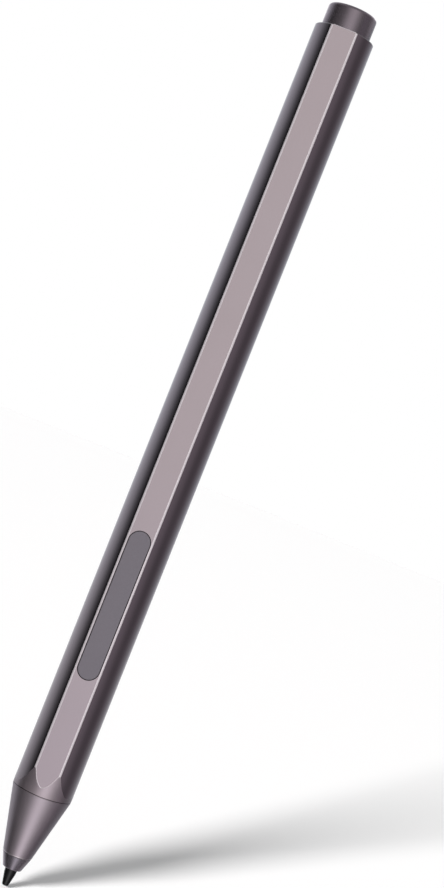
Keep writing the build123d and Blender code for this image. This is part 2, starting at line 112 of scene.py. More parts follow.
def startRing(name, radius, station, segments):
    clearSelection()
    bpy.ops.mesh.primitive_circle_add(vertices=segments, radius=radius * mm, fill_type="NOTHING")
    piece = bpy.context.object
    piece.name = piece.data.name = name
    bpy.ops.object.mode_set(mode="EDIT")
    bpy.ops.mesh.select_all(action="SELECT")
    bpy.ops.transform.translate(value=(0, 0, station * mm))
    return piece


def closePiece(piece):          # weld the seams and turn the faces outwards
    bpy.ops.mesh.select_all(action="SELECT")
    bpy.ops.mesh.remove_doubles(threshold=weld)
    bpy.ops.mesh.select_all(action="SELECT")
    bpy.ops.mesh.normals_make_consistent(inside=False)
    bpy.ops.object.mode_set(mode="OBJECT")


def turnPiece(name, outline, segments, bored):   # outline holds a radius and a station for each ring
    piece = startRing(name, *outline[0], segments)
    for (lastRadius, lastStation), (radius, station) in zip(outline, outline[1:]):
        pull(0, 0, station - lastStation)
        grow = radius / lastRadius
        bpy.ops.transform.resize(value=(grow, grow, 1), center_override=(0, 0, station * mm))
    selectBorders()
    if bored:
        bpy.ops.mesh.bridge_edge_loops()
    else:
        bpy.ops.mesh.edge_face_add()
    closePiece(piece)
    return piece


def roundEdges(piece, shape):   # soften the edges that turn by more than the sharp angle
    sharp = math.radians(shape["sharpAngle"])
    activate(piece)
    bevel = piece.modifiers.new("softEdge", "BEVEL")
    bevel.width = shape["edge"] * mm
    bevel.segments = shape["edgeSteps"]
    bevel.limit_method = "ANGLE"
    bevel.angle_limit = sharp
    bpy.ops.object.modifier_apply(modifier=bevel.name)
    bpy.ops.object.shade_smooth_by_angle(angle=sharp)


def bevelRing(piece, radius, station, width, segments):   # round one turned edge
    def onRing(vertex):
        return abs(vertex.co.z - station * mm) < weld and abs(vertex.co.xy.length - radius * mm) < weld

    selectEdges(piece, lambda edge: all(onRing(vertex) for vertex in edge.verts))
    bpy.ops.mesh.bevel(offset=width * mm, segments=segments, affect="EDGES")
    bpy.ops.object.mode_set(mode="OBJECT")


replaced = set()                # CAD nodes that a modelled piece stands for


def finishPiece(piece, body, node, slot, *materials):
    for material in materials:
        piece.data.materials.append(material)
    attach(piece, body)
    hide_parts(node)
    replaced.add(node)
    print(piece.name, "done:", len(piece.data.polygons), "faces")


# shader nodes and the groups that the materials share
def newGroup(name, inputs, outputs):
    group = bpy.data.node_groups.new(name, "ShaderNodeTree")
    for way, sockets in (("INPUT", inputs), ("OUTPUT", outputs)):
        for label, kind in sockets.items():
            group.interface.new_socket(label, in_out=way, socket_type="NodeSocket" + kind)
    return group, group.nodes.new("NodeGroupInput"), group.nodes.new("NodeGroupOutput")


def addNode(tree, kind, **settings):
    node = tree.nodes.new(kind)
    for key, value in settings.items():
        setattr(node, key, value)
    return node


def feed(tree, node, values):   # another node's socket is linked, a plain value is set
    for label, value in values.items():
        if isinstance(value, bpy.types.NodeSocket):
            tree.links.new(value, node.inputs[label])
        else:
            node.inputs[label].default_value = value


def addMath(tree, operation, first, second):
    node = addNode(tree, "ShaderNodeMath", operation=operation)
    feed(tree, node, {0: first, 1: second})
    return node.outputs[0]


def addSpread(tree, value, low, high, newLow=0.0, newHigh=1.0):   # one span laid smoothly on another
    node = addNode(tree, "ShaderNodeMapRange", interpolation_type="SMOOTHSTEP")
    feed(tree, node, dict(enumerate((value, low, high, newLow, newHigh))))
    return node.outputs[0]


def addBlend(tree, share, first, second, way="MIX"):
    node = addNode(tree, "ShaderNodeMix", data_type="RGBA", blend_type=way)
    feed(tree, node, {0: share, 6: first, 7: second})   # 6 and 7 are the colour sockets
    return node.outputs[2]


def addNoise(tree, vector, scale, detail):
    node = addNode(tree, "ShaderNodeTexNoise")
    feed(tree, node, {"Vector": vector, "Scale": scale, "Detail": detail})
    return node.outputs[0]


def addRamp(tree, share, kind, stops):   # stops are a position and a colour with its fourth value
    node = addNode(tree, "ShaderNodeValToRGB")
    node.color_ramp.interpolation = kind
    while len(node.color_ramp.elements) < len(stops):
        node.color_ramp.elements.new(0.5)   # moved to its place below
    for element, (position, colour) in zip(node.color_ramp.elements, stops):
        element.position = position
        element.color = colour
    feed(tree, node, {0: share})
    return node


grainShape = {
    "fineShare": 0.55, "fineDetail": 2, "cloudShare": 0.45, "cloudDetail": 4,
    "colourSpan": (0.3, 0.7), "roughSpan": (0.35, 0.65),
}
rubShape = {
    "edgeSpan": (0.52, 0.6), "patchScale": 900.0, "patchDetail": 3,
    "patchSpan": (0.35, 0.6), "leastPatch": 0.25,
}


def makeGrainGroup(shape):      # fine tooth of a blasted, painted or moulded face
    group, source, result = newGroup(
        "surfaceGrain",
        {"Vector": "Vector", "Grain": "Float", "Cloud": "Float", "Low Colour": "Color",
         "High Colour": "Color", "Low Rough": "Float", "High Rough": "Float"},
        {"Colour": "Color", "Roughness": "Float", "Height": "Float"},
    )
    given = source.outputs
    fine = addNoise(group, given["Vector"], given["Grain"], shape["fineDetail"])
    cloud = addNoise(group, given["Vector"], given["Cloud"], shape["cloudDetail"])
    finePart = addMath(group, "MULTIPLY", fine, shape["fineShare"])
    cloudPart = addMath(group, "MULTIPLY", cloud, shape["cloudShare"])
    share = addSpread(group, addMath(group, "ADD", finePart, cloudPart), *shape["colourSpan"])
    colour = addBlend(group, share, given["Low Colour"], given["High Colour"])
    smudge = addSpread(group, cloud, *shape["roughSpan"], given["Low Rough"], given["High Rough"])
    feed(group, result, {"Colour": colour, "Roughness": smudge, "Height": fine})
    return group


def makeRubGroup(shape):        # edges rubbed a little lighter by handling
    group, source, result = newGroup(
        "edgeRub",
        {"Vector": "Vector", "Colour": "Color", "Rubbed": "Color", "Amount": "Float"},
        {"Colour": "Color"},
    )
    given = source.outputs
    pointed = addNode(group, "ShaderNodeNewGeometry").outputs["Pointiness"]
    sharp = addSpread(group, pointed, *shape["edgeSpan"])
    noise = addNoise(group, given["Vector"], shape["patchScale"], shape["patchDetail"])
    patch = addSpread(group, noise, *shape["patchSpan"], shape["leastPatch"])
    mask = addMath(group, "MULTIPLY", addMath(group, "MULTIPLY", sharp, patch), given["Amount"])
    feed(group, result, {"Colour": addBlend(group, mask, given["Colour"], given["Rubbed"])})
    return group


grainGroup = makeGrainGroup(grainShape)
rubGroup = makeRubGroup(rubShape)
print("shader groups made")

# finishes: colours are linear, grain and cloud are noise scales per metre, tooth is the bump in metres
finishes = {
    "anodised_shell": dict(low=(0.446, 0.377, 0.418), high=(0.472, 0.4, 0.444), rough=(0.165, 0.185),
                           metallic=1.0, grain=9000, cloud=140, tooth=0.0000012, rub=0.0),
    "brightBevel": dict(low=(0.745, 0.68, 0.725), high=(0.8, 0.735, 0.78), rough=(0.56, 0.62),
                        metallic=0.9, grain=5000, cloud=200, tooth=0.0000008, rub=0.2),
    "turnedFront": dict(low=(0.417, 0.351, 0.39), high=(0.441, 0.372, 0.414), rough=(0.32, 0.35),
                        metallic=0.97, grain=9000, cloud=140, tooth=0.0000012, rub=0.1),
    # painted shade: a darker copy of the bevel finish for the tongue's right-hand bevel, the side away from
    # the light
    "paintedShadeTongueEdge": dict(low=(0.6, 0.53, 0.565), high=(0.66, 0.59, 0.625), rough=(0.4, 0.45),
                       metallic=1.0, grain=5000, cloud=200, tooth=0.0000008, rub=0.1),
    # painted shade: a darker copy of the shell for the seam's step and for the rim's chamfer on the round
    # back
    "seamShade": dict(low=(0.2, 0.168, 0.187), high=(0.225, 0.19, 0.21), rough=(0.2, 0.24),
                      metallic=1.0, grain=9000, cloud=140, tooth=0.0000012, rub=0.0),
    # painted highlight: a lighter band on the nose cone's front edge
    "noseRimPaintedHighlight": dict(low=(0.6, 0.53, 0.565), high=(0.66, 0.585, 0.625), rough=(0.32, 0.36),
                    metallic=0.985, grain=9000, cloud=160, tooth=0.000001, rub=0.1),
    "painted_nose": dict(low=(0.433, 0.37, 0.416), high=(0.474, 0.406, 0.455), rough=(0.38, 0.42),
                         metallic=0.985, grain=11000, cloud=160, tooth=0.000002, rub=0.15),
    "collar_plastic": dict(low=(0.198, 0.175, 0.206), high=(0.223, 0.198, 0.233), rough=(0.17, 0.21),
                           metallic=0.98, sheen=0.28, grain=9000, cloud=300, tooth=0.0000015, rub=0.0),
    "nib_black": dict(low=(0.0006, 0.0006, 0.0007), high=(0.0012, 0.0012, 0.0014), rough=(0.03, 0.05),
                      metallic=0.0, gloss=1.47, grain=7000, cloud=500, tooth=0.000001, rub=0.0),
    "button_plastic": dict(low=(0.158, 0.143, 0.165), high=(0.181, 0.164, 0.19), rough=(0.42, 0.5),
                           metallic=0.85, grain=8000, cloud=180, tooth=0.000002, rub=0.1),
    "tail_metal": dict(low=(0.211, 0.176, 0.209), high=(0.234, 0.198, 0.233), rough=(0.24, 0.27),
                       metallic=0.98, sheen=0.28, grain=9000, cloud=200, tooth=0.0000012, rub=0.15),
    "copper_alloy": dict(low=(0.62, 0.43, 0.18), high=(0.78, 0.58, 0.29), rough=(0.2, 0.34),
                         metallic=1.0, grain=5000, cloud=700, tooth=0.000001, rub=0.3),
    "spring_steel": dict(low=(0.46, 0.46, 0.48), high=(0.62, 0.62, 0.64), rough=(0.2, 0.32),
                         metallic=1.0, grain=6000, cloud=900, tooth=0.000001, rub=0.3),
    "inner_plastic": dict(low=(0.018, 0.018, 0.02), high=(0.032, 0.032, 0.035), rough=(0.45, 0.6),
                          metallic=0.0, grain=4500, cloud=250, tooth=0.000004, rub=0.2),
    "white_plastic": dict(low=(0.62, 0.61, 0.56), high=(0.74, 0.73, 0.69), rough=(0.4, 0.52),
                          metallic=0.0, grain=4000, cloud=400, tooth=0.000003, rub=0.1),
    "circuit_board": dict(low=(0.008, 0.07, 0.035), high=(0.018, 0.12, 0.06), rough=(0.25, 0.4),
                          metallic=0.0, grain=2500, cloud=600, tooth=0.000004, rub=0.1),
    "chip_epoxy": dict(low=(0.012, 0.012, 0.013), high=(0.024, 0.024, 0.026), rough=(0.45, 0.6),
                       metallic=0.0, grain=7000, cloud=800, tooth=0.000003, rub=0.1),
    "flex_film": dict(low=(0.42, 0.19, 0.03), high=(0.56, 0.28, 0.06), rough=(0.2, 0.34),
                      metallic=0.0, grain=3000, cloud=500, tooth=0.000001, rub=0.1),
    "magnet_nickel": dict(low=(0.52, 0.51, 0.48), high=(0.66, 0.65, 0.61), rough=(0.14, 0.26),
                          metallic=1.0, grain=4000, cloud=400, tooth=0.000001, rub=0.3),
    "cell_jacket": dict(low=(0.85, 0.85, 0.85), high=(1.0, 1.0, 1.0), rough=(0.22, 0.34),
                        metallic=0.0, grain=2500, cloud=200, tooth=0.000001, rub=0.0),
    "seal_rubber": dict(low=(0.01, 0.01, 0.01), high=(0.022, 0.022, 0.022), rough=(0.6, 0.75),
                        metallic=0.0, grain=5000, cloud=500, tooth=0.000004, rub=0.1),
}

# what a finish has unless it says otherwise
plainFinish = {
    "gloss": 1.5, "sheen": 0.0, "sheenRough": 0.45, "sheenTint": (1.0, 0.86, 0.96),
    "rubGain": 1.5, "rubLift": 0.02,   # a rubbed edge is the high colour times the gain, plus the lift
}


def makeFinish(name, settings):
    finish = {**plainFinish, **settings}
    rubbed = [min(1, finish["rubGain"] * part + finish["rubLift"]) for part in finish["high"]]
    material = bpy.data.materials.new(name)
    material.use_nodes = True
    tree = material.node_tree
    shader = tree.nodes["Principled BSDF"]
    place = addNode(tree, "ShaderNodeTexCoord").outputs["Object"]
    grain = addNode(tree, "ShaderNodeGroup", node_tree=grainGroup)
    rub = addNode(tree, "ShaderNodeGroup", node_tree=rubGroup)
    bump = addNode(tree, "ShaderNodeBump")
    feed(tree, grain, {
        "Vector": place, "Grain": finish["grain"], "Cloud": finish["cloud"],
        "Low Colour": (*finish["low"], 1), "High Colour": (*finish["high"], 1),
        "Low Rough": finish["rough"][0], "High Rough": finish["rough"][1],
    })
    feed(tree, rub, {
        "Vector": place, "Colour": grain.outputs["Colour"], "Rubbed": (*rubbed, 1), "Amount": finish["rub"],
    })
    feed(tree, bump, {"Height": grain.outputs["Height"], "Distance": finish["tooth"]})
    feed(tree, shader, {
        "Base Color": rub.outputs["Colour"], "Roughness": grain.outputs["Roughness"],
        "Normal": bump.outputs["Normal"], "Metallic": finish["metallic"], "IOR": finish["gloss"],
        "Sheen Weight": finish["sheen"], "Sheen Roughness": finish["sheenRough"],
        "Sheen Tint": (*finish["sheenTint"], 1),
    })
    return material


looks = {name: makeFinish(name, settings) for name, settings in finishes.items()}
print("finishes made:", len(looks))

# battery: bare steel ends, a black jacket and a copper band
cellBands = {
    "start": cellLow.z, "length": cellHigh.z - cellLow.z,
    # how far each band starts from the cell's front end, its colour and how metallic it is
    "bands": ((0, (0.5, 0.5, 0.51), 1.0), (0.5, (0.03, 0.033, 0.04), 0.0),
              (26.6, (0.56, 0.25, 0.11), 0.9), (40.8, (0.5, 0.5, 0.51), 1.0)),
}


def bandCell(material, shape):
    tree = material.node_tree
    shader = tree.nodes["Principled BSDF"]
    grainColour = shader.inputs["Base Color"].links[0].from_socket
    split = addNode(tree, "ShaderNodeSeparateXYZ")
    feed(tree, split, {0: addNode(tree, "ShaderNodeTexCoord").outputs["Object"]})
    along = addMath(tree, "SUBTRACT", split.outputs["Z"], shape["start"] * mm)
    share = addMath(tree, "DIVIDE", along, shape["length"] * mm)
    stops = [(station / shape["length"], (*colour, metal)) for station, colour, metal in shape["bands"]]
    ramp = addRamp(tree, share, "CONSTANT", stops)
    tinted = addBlend(tree, 1, grainColour, ramp.outputs["Color"], "MULTIPLY")
    feed(tree, shader, {"Base Color": tinted, "Metallic": ramp.outputs["Alpha"]})


bandCell(looks["cell_jacket"], cellBands)
print("battery bands set")

# side button: a long bar with a hidden flange and a round foot over the switch; the barrel's slot follows it
flangeLip = 0.43                # flange beyond the bar
buttonShape = {
    "length": buttonHigh.z - buttonLow.z - 2 * flangeLip, "width": buttonHigh.x - buttonLow.x - 2 * flangeLip,
    "centre": (buttonLow.z + buttonHigh.z) / 2, "face": -buttonLow.y, "foot": -buttonHigh.y,
    "lip": flangeLip, "flangeTop": 3.66, "flangeDepth": 0.45, "footRadius": 1.0,
    "edge": 0.08, "edgeSteps": 3, "sharpAngle": 12, "segments": 66,
}


def stretchEnds(bar, centre, reach):   # move the two halves apart along the pen
    bpy.ops.mesh.select_mode(type="VERT")
    for end in (-1, 1):
        bpy.ops.mesh.select_all(action="DESELECT")
        grid = bmesh.from_edit_mesh(bar.data)
        for vertex in grid.verts:
            vertex.select = (vertex.co.z - centre * mm) * end > 0
        bmesh.update_edit_mesh(bar.data)
        bpy.ops.transform.translate(value=(0, 0, end * reach * mm))


def stadiumBar(name, length, width, centre, height, depth, segments):   # a long rounded bar along the flat
    clearSelection()
    bpy.ops.mesh.primitive_circle_add(vertices=segments, radius=width / 2 * mm, fill_type="NGON")
    bar = bpy.context.object
    bar.name = bar.data.name = name
    bpy.ops.object.mode_set(mode="EDIT")
    bpy.ops.mesh.select_all(action="SELECT")
    bpy.ops.transform.rotate(value=math.radians(-90), orient_axis="X", center_override=(0, 0, 0))
    bpy.ops.transform.translate(value=(0, -height * mm, centre * mm))
    stretchEnds(bar, centre, (length - width) / 2)
    bpy.ops.mesh.select_all(action="SELECT")
    pull(0, depth, 0)
    return bar


def resizeBack(bar, centre, endCentre, grow, shift):   # step the selected back face in or out, end by end
    pull(0, 0, 0)
    grid = bmesh.from_edit_mesh(bar.data)
    back = [vertex for vertex in grid.verts if vertex.select]
    halves = {end: [vertex for vertex in back if (vertex.co.z - centre * mm) * end > 0] for end in (-1, 1)}
    for end, half in halves.items():
        for vertex in back:
            vertex.select = vertex in half
        bmesh.update_edit_mesh(bar.data)
        pivot = (0, 0, (centre + end * endCentre) * mm)
        bpy.ops.transform.resize(value=(grow, 1, grow), center_override=pivot)
        bpy.ops.transform.translate(value=(0, 0, end * shift * mm))
    for vertex in back:
        vertex.select = True
    grid.select_flush(True)
    bmesh.update_edit_mesh(bar.data)


def makeSideButton(shape):
    depth = shape["face"] - shape["flangeTop"]
    footDepth = shape["flangeTop"] - shape["flangeDepth"] - shape["foot"]
    bar = stadiumBar("sideButton", shape["length"], shape["width"], shape["centre"], shape["face"], depth,
                     shape["segments"])
    half = shape["width"] / 2
    wide = half + shape["lip"]
    endCentre = (shape["length"] - shape["width"]) / 2
    resizeBack(bar, shape["centre"], endCentre, wide / half, 0)   # the flange stands out all round
    pull(0, shape["flangeDepth"], 0)
    resizeBack(bar, shape["centre"], endCentre, shape["footRadius"] / wide, -endCentre)
    pull(0, footDepth, 0)
    closePiece(bar)
    return bar


button = makeSideButton(buttonShape)
roundEdges(button, buttonShape)
finishPiece(button, "side_key", "side_button", "button_plastic", looks["button_plastic"])

# barrel: an aluminium tube with one flat between bright bevels, gently bowed flanks and a turned front end
barrelShape = {
    "seam": barrelLow.z, "end": barrelHigh.z, "radius": barrelHigh.x, "wall": 0.54,
    "flat": -barrelLow.y, "cornerHalf": 2.045, "bevel": 0.175, "flankAngle": 55.0,
    "seamStep": 0.12, "rimChamfer": 0.15,
    "tongueBevel": 0.11, "tongueFoot": 0.2,   # the tongue is the end of the flat on the turned front
    "flareSink": 0.015, "flareThroat": 0.25, "flareBlend": 10.0, "flareAngle": 8.0, "flareTop": 5.5,
    "flatColumns": 20, "bevelSteps": 4, "flankColumns": 16, "backColumns": 44, "flareRows": 18,
    "slotGap": 0.1, "slotEdge": 0.05, "slotSteps": 2, "cutterRise": 1.0, "cutterDepth": 4.0,
    "wallLean": 0.5,             # faces that look less than this towards the flat's side are the slot's wall
    "sharpAngle": 14, "finishes": ("anodised_shell", "turnedFront", "brightBevel", "paintedShadeTongueEdge", "seamShade"),
}


def roundedBetween(first, corner, last, share):   # a point on the bow that replaces a corner
    return first.lerp(corner, share).lerp(corner.lerp(last, share), share)


def halfSection(shape):         # (across, height, kind) from the middle of the flat round to the back
    turn = math.radians(shape["flankAngle"])
    corner = Vector((shape["cornerHalf"], shape["flat"]))
    normal = Vector((math.sin(turn), math.cos(turn)))
    offset = (corner.length_squared - shape["radius"] ** 2) / (2 * (shape["radius"] - corner.dot(normal)))
    centre = -offset * normal
    flankRadius = shape["radius"] + offset
    arm = corner - centre
    start = math.atan2(arm.x, arm.y) + shape["bevel"] / flankRadius
    flatHalf = shape["cornerHalf"] - shape["bevel"]
    points = []
    for step in range(shape["flatColumns"]):
        points.append((flatHalf * step / shape["flatColumns"], shape["flat"], "flat"))
    flankStart = centre + flankRadius * Vector((math.sin(start), math.cos(start)))
    flatEdge = Vector((flatHalf, shape["flat"]))
    for step in range(shape["bevelSteps"]):
        bow = roundedBetween(flatEdge, corner, flankStart, step / shape["bevelSteps"])
        points.append((bow.x, bow.y, "bevel"))
    for step in range(shape["flankColumns"] + 1):
        angle = start + (turn - start) * step / shape["flankColumns"]
        across = centre.x + flankRadius * math.sin(angle)
        points.append((across, centre.y + flankRadius * math.cos(angle), "round"))
    for step in range(1, shape["backColumns"] + 1):
        angle = turn + (math.pi - turn) * step / shape["backColumns"]
        points.append((shape["radius"] * math.sin(angle), shape["radius"] * math.cos(angle), "round"))
    return points


def flareOut(shape, climb):       # how far the turned end has widened at a height above its foot
    turn, blend = math.radians(shape["flareAngle"]), shape["flareBlend"]
    climb = max(climb - shape["flareThroat"], 0)
    if climb < blend * math.sin(turn):
        return blend - math.sqrt(blend ** 2 - climb ** 2)
    return blend * (1 - math.cos(turn)) + (climb - blend * math.sin(turn)) * math.tan(turn)


def flareClimb(shape, rise):      # the height where it has widened that far, and how fast that height grows
    turn, blend = math.radians(shape["flareAngle"]), shape["flareBlend"]
    if rise <= 0:
        return 0.0, 0.0
    bow = blend * (1 - math.cos(turn))
    if rise < bow:
        climb = math.sqrt(rise * (2 * blend - rise))
        return shape["flareThroat"] + climb, (blend - rise) / climb
    climb = blend * math.sin(turn) + (rise - bow) / math.tan(turn)
    return shape["flareThroat"] + climb, 1 / math.tan(turn)


def barrelColumn(shape, across, height, kind):   # the points of one lengthwise line, from the seam to the rim
    reach = math.hypot(across, height)
    side = Vector((across, -height)) / reach
    seam = shape["seam"]
    foot = shape["radius"] - shape["flareSink"]
    root = shape["radius"] - shape["seamStep"]
    footStation = seam + shape["seamStep"]
    crease, growth = flareClimb(shape, reach - foot)
    slope = abs(across) / reach * growth   # how steeply the edge of the flat runs across the turned end
    width = shape["tongueBevel"] * math.sqrt(1 + slope * slope) if kind != "round" else 0.0
    under = max(crease - width / 2, crease * shape["tongueFoot"])
    over = crease + width / 2
    points = [(root, seam), (root, footStation), (min(foot, reach), footStation)]
    for step in range(1, shape["flareRows"] + 1):
        climb = under * step / shape["flareRows"]
        turned = foot + flareOut(shape, climb)
        points.append((min(turned, reach), footStation + climb))
    low = Vector((min(turned, reach), under))
    crest = Vector((reach, crease))
    high = Vector((reach, over))
    for step in range(1, shape["bevelSteps"] + 1):
        bow = roundedBetween(low, crest, high, step / shape["bevelSteps"])
        points.append((bow.x, footStation + bow.y))
    points.append((reach, seam + shape["flareTop"]))
    points.append((reach, shape["end"] - shape["rimChamfer"]))
    points.append((reach - shape["rimChamfer"], shape["end"]))
    bore = shape["radius"] - shape["wall"]
    points.append((bore, shape["end"]))
    points.append((bore, seam))
    return [Vector((side.x * radius, side.y * radius, station)) * mm for radius, station in points]


def makeBarrel(shape):
    half = halfSection(shape)
    mirrored = [(-across, height, half[index - 1][2]) for index, (across, height, _) in enumerate(half)]
    section = half + mirrored[-2:0:-1]
    stripKinds = [kind for _, _, kind in half[:-1] + mirrored[:0:-1]]   # of the faces beside each line
    lineKinds = [kind for _, _, kind in half + half[-2:0:-1]]
    columns = [barrelColumn(shape, across, height, kind)
               for (across, height, _), kind in zip(section, lineKinds)]
    count, rows = len(columns), len(columns[0])
    piece = startRing("barrelTube", shape["radius"], 0, count)
    for _ in range(rows - 1):
        pull(0, 0, 1)
    bpy.ops.object.mode_set(mode="OBJECT")
    places = {}                  # row and column of each point, while the tube is still a plain grid
    for vertex in piece.data.vertices:
        row = round(vertex.co.z / mm)
        column = round(math.atan2(vertex.co.x, -vertex.co.y) / (2 * math.pi) * count) % count
        places[vertex.index] = (row, column)
    stepRows, tubeRows = 2, 2    # rows of the seam's step and of the plain tube
    bevelRow = stepRows + shape["flareRows"]
    topRow = bevelRow + shape["bevelSteps"]
    rimRow = topRow + tubeRows
    for face in piece.data.polygons:
        row = min(places[index][0] for index in face.vertices)
        ends = sorted(places[index][1] for index in face.vertices)
        column = ends[-1] if ends[-1] - ends[0] > 1 else ends[0]
        onFlat = stripKinds[column] == "flat"
        finish = "anodised_shell"
        # the tongue's bevel: the bright-cut finish on the left side, a darker copy on the right side as
        # painted shade
        if onFlat and bevelRow <= row < topRow:
            finish = "brightBevel" if column >= count // 2 else "paintedShadeTongueEdge"
        # the rim's chamfer: the bright-cut finish on the flat, painted shade on the round parts
        elif row == rimRow:
            finish = "brightBevel" if onFlat else "seamShade"
        elif stripKinds[column] == "bevel" and bevelRow <= row < rimRow:
            finish = "brightBevel"
        # the turned front, and under it the seam's step in painted shade
        elif row < bevelRow:
            finish = "turnedFront" if row >= stepRows else "seamShade"
        face.material_index = shape["finishes"].index(finish)
    for vertex in piece.data.vertices:
        row, column = places[vertex.index]
        vertex.co = columns[column][row]
    bpy.ops.object.mode_set(mode="EDIT")
    selectBorders()
    bpy.ops.mesh.bridge_edge_loops()
    closePiece(piece)
    return piece


def cutSlot(piece, shape, bar):
    length = bar["length"] + 2 * shape["slotGap"]
    width = bar["width"] + 2 * shape["slotGap"]
    top = shape["flat"] + shape["cutterRise"]
    cutter = stadiumBar("slotCutter", length, width, bar["centre"], top, shape["cutterDepth"],
                        bar["segments"])
    closePiece(cutter)
    activate(piece)
    cut = piece.modifiers.new("buttonSlot", "BOOLEAN")
    cut.object = cutter
    cut.operation = "DIFFERENCE"
    cut.solver = "EXACT"
    bpy.ops.object.modifier_apply(modifier=cut.name)
    bpy.data.objects.remove(cutter)

    def onRim(edge):             # the slot's edge on the flat
        middle = (edge.verts[0].co + edge.verts[1].co) / 2
        onFace = all(abs(vertex.co.y + shape["flat"] * mm) < weld for vertex in edge.verts)
        byWall = any(abs(face.normal.y) < shape["wallLean"] for face in edge.link_faces)
        inLength = abs(middle.z - bar["centre"] * mm) < length / 2 * mm + weld
        inWidth = abs(middle.x) < width / 2 * mm + weld
        return onFace and byWall and inLength and inWidth

    selectEdges(piece, onRim)
    bpy.ops.mesh.bevel(offset=shape["slotEdge"] * mm, segments=shape["slotSteps"], affect="EDGES",
                       clamp_overlap=True)
    bpy.ops.object.mode_set(mode="OBJECT")


def sharpenBorders(piece, angle):   # crisp where the finish changes or the faces really turn
    for face in piece.data.polygons:
        face.use_smooth = True
    bpy.ops.object.mode_set(mode="EDIT")
    grid = bmesh.from_edit_mesh(piece.data)
    for edge in grid.edges:
        if len(edge.link_faces) != 2:
            continue
        first, second = edge.link_faces
        turn = first.normal.angle(second.normal, 0)
        edge.smooth = first.material_index == second.material_index and turn < math.radians(angle)
    bmesh.update_edit_mesh(piece.data)
    bpy.ops.object.mode_set(mode="OBJECT")


barrel = makeBarrel(barrelShape)
cutSlot(barrel, barrelShape, buttonShape)
sharpenBorders(barrel, barrelShape["sharpAngle"])
finishPiece(barrel, "pen_body", "barrel", "anodised_shell",
            *(looks[name] for name in barrelShape["finishes"]))

# nose cone: painted plastic, its spigot hidden in the barrel
coneShape = {
    "front": ((2.3, 0), (2.36, 0.06), (2.395, 0.21)),   # radius and height of each step of the front edge
    "rim": 0.22, "seamGap": 0.02, "seamChamfer": (0.04, 0.08), "spigot": 4.24,
    "pocket": 3.3, "pocketFloor": 12.0, "holderBore": 2.09, "collarBore": 1.77,
    "edge": 0.03, "edgeSteps": 3, "sharpAngle": 25, "segments": 160,
}


def coneOutline(shape):
    seam = barrelLow.z - shape["seamGap"]
    inset, height = shape["seamChamfer"]
    front = [(radius, coneLow.z + rise) for radius, rise in shape["front"]]
    outside = [(coneHigh.x, seam - height), (coneHigh.x - inset, seam)]
    spigot = [(shape["spigot"], seam), (shape["spigot"], coneHigh.z)]
    pocket = [(shape["pocket"], coneHigh.z), (shape["pocket"], shape["pocketFloor"])]
    bore = [(shape["holderBore"], shape["pocketFloor"]), (shape["holderBore"], collarHigh.z)]
    seat = [(shape["collarBore"], collarHigh.z)]
    return [(shape["collarBore"], coneLow.z), *front, *outside, *spigot, *pocket, *bore, *seat]


cone = turnPiece("noseCone", coneOutline(coneShape), coneShape["segments"], True)
roundEdges(cone, coneShape)
for face in cone.data.polygons:   # a thin band at the front edge, painted lighter as a highlight
    face.material_index = int(face.center.z < (coneLow.z + coneShape["rim"]) * mm)
finishPiece(cone, "pen_body", "nose_cone", "painted_nose", looks["painted_nose"], looks["noseRimPaintedHighlight"])

# collar: darker ring that guides the nib
collarShape = {
    "bore": 1.08, "tip": 1.53, "spigot": 1.74,
    "edge": 0.09, "edgeSteps": 3, "sharpAngle": 25, "segments": 128,
}


def collarOutline(shape):
    base = coneLow.z - fit
    outside = [(shape["tip"], collarLow.z), (collarHigh.x, base)]
    spigot = [(shape["spigot"], base), (shape["spigot"], collarHigh.z)]
    return [(shape["bore"], collarLow.z), *outside, *spigot, (shape["bore"], collarHigh.z)]


collar = turnPiece("noseCollar", collarOutline(collarShape), collarShape["segments"], True)
roundEdges(collar, collarShape)
finishPiece(collar, "pen_body", "nose_collar", "collar_plastic", looks["collar_plastic"])

# nib: black writing tip with its stem
nibShape = {
    "point": 0.5, "taperRadius": 0.93, "taperStation": 2.1, "shoulderSetback": 0.3, "stem": 0.75,
    "tip": 0.24, "tipSteps": 6, "edge": 0.04, "edgeSteps": 2, "sharpAngle": 40, "segments": 96,
}


def nibOutline(shape):
    shoulder = coneLow.z - shape["shoulderSetback"]
    tip = [(shape["point"], nibLow.z), (shape["taperRadius"], shape["taperStation"])]
    middle = [(nibHigh.x, collarLow.z), (nibHigh.x, shoulder)]
    return [*tip, *middle, (shape["stem"], shoulder), (shape["stem"], nibHigh.z)]


nib = turnPiece("writingNib", nibOutline(nibShape), nibShape["segments"], False)
bevelRing(nib, *nibOutline(nibShape)[0], nibShape["tip"], nibShape["tipSteps"])
roundEdges(nib, nibShape)
finishPiece(nib, "nib_tip", "nib", "nib_black", looks["nib_black"])

# tail button: a plain cap on a stem, with a neck for the clip
capShape = {
    "stem": 1.2, "neck": 0.9, "wall": 0.9, "skirt": 6.9, "round": 0.6, "roundSteps": 8,
    "edge": 0.04, "edgeSteps": 2, "sharpAngle": 40, "segments": 160,
}


def capOutline(shape):
    neckLow, neckHigh = clipLow.z - fit, clipHigh.z + fit
    ceiling, mouth = coilHigh.z + fit, capHigh.z - shape["skirt"]
    inside = capHigh.x - shape["wall"]
    foot = [(shape["stem"], capLow.z), (shape["stem"], neckLow)]
    neck = [(shape["neck"], neckLow), (shape["neck"], neckHigh)]
    stem = [(shape["stem"], neckHigh), (shape["stem"], ceiling)]
    hollow = [(inside, ceiling), (inside, mouth)]
    return [*foot, *neck, *stem, *hollow, (capHigh.x, mouth), (capHigh.x, capHigh.z)]


cap = turnPiece("tailCap", capOutline(capShape), capShape["segments"], False)
bevelRing(cap, *capOutline(capShape)[-1], capShape["round"], capShape["roundSteps"])
roundEdges(cap, capShape)
finishPiece(cap, "tail_key", "tail_button", "tail_metal", looks["tail_metal"])

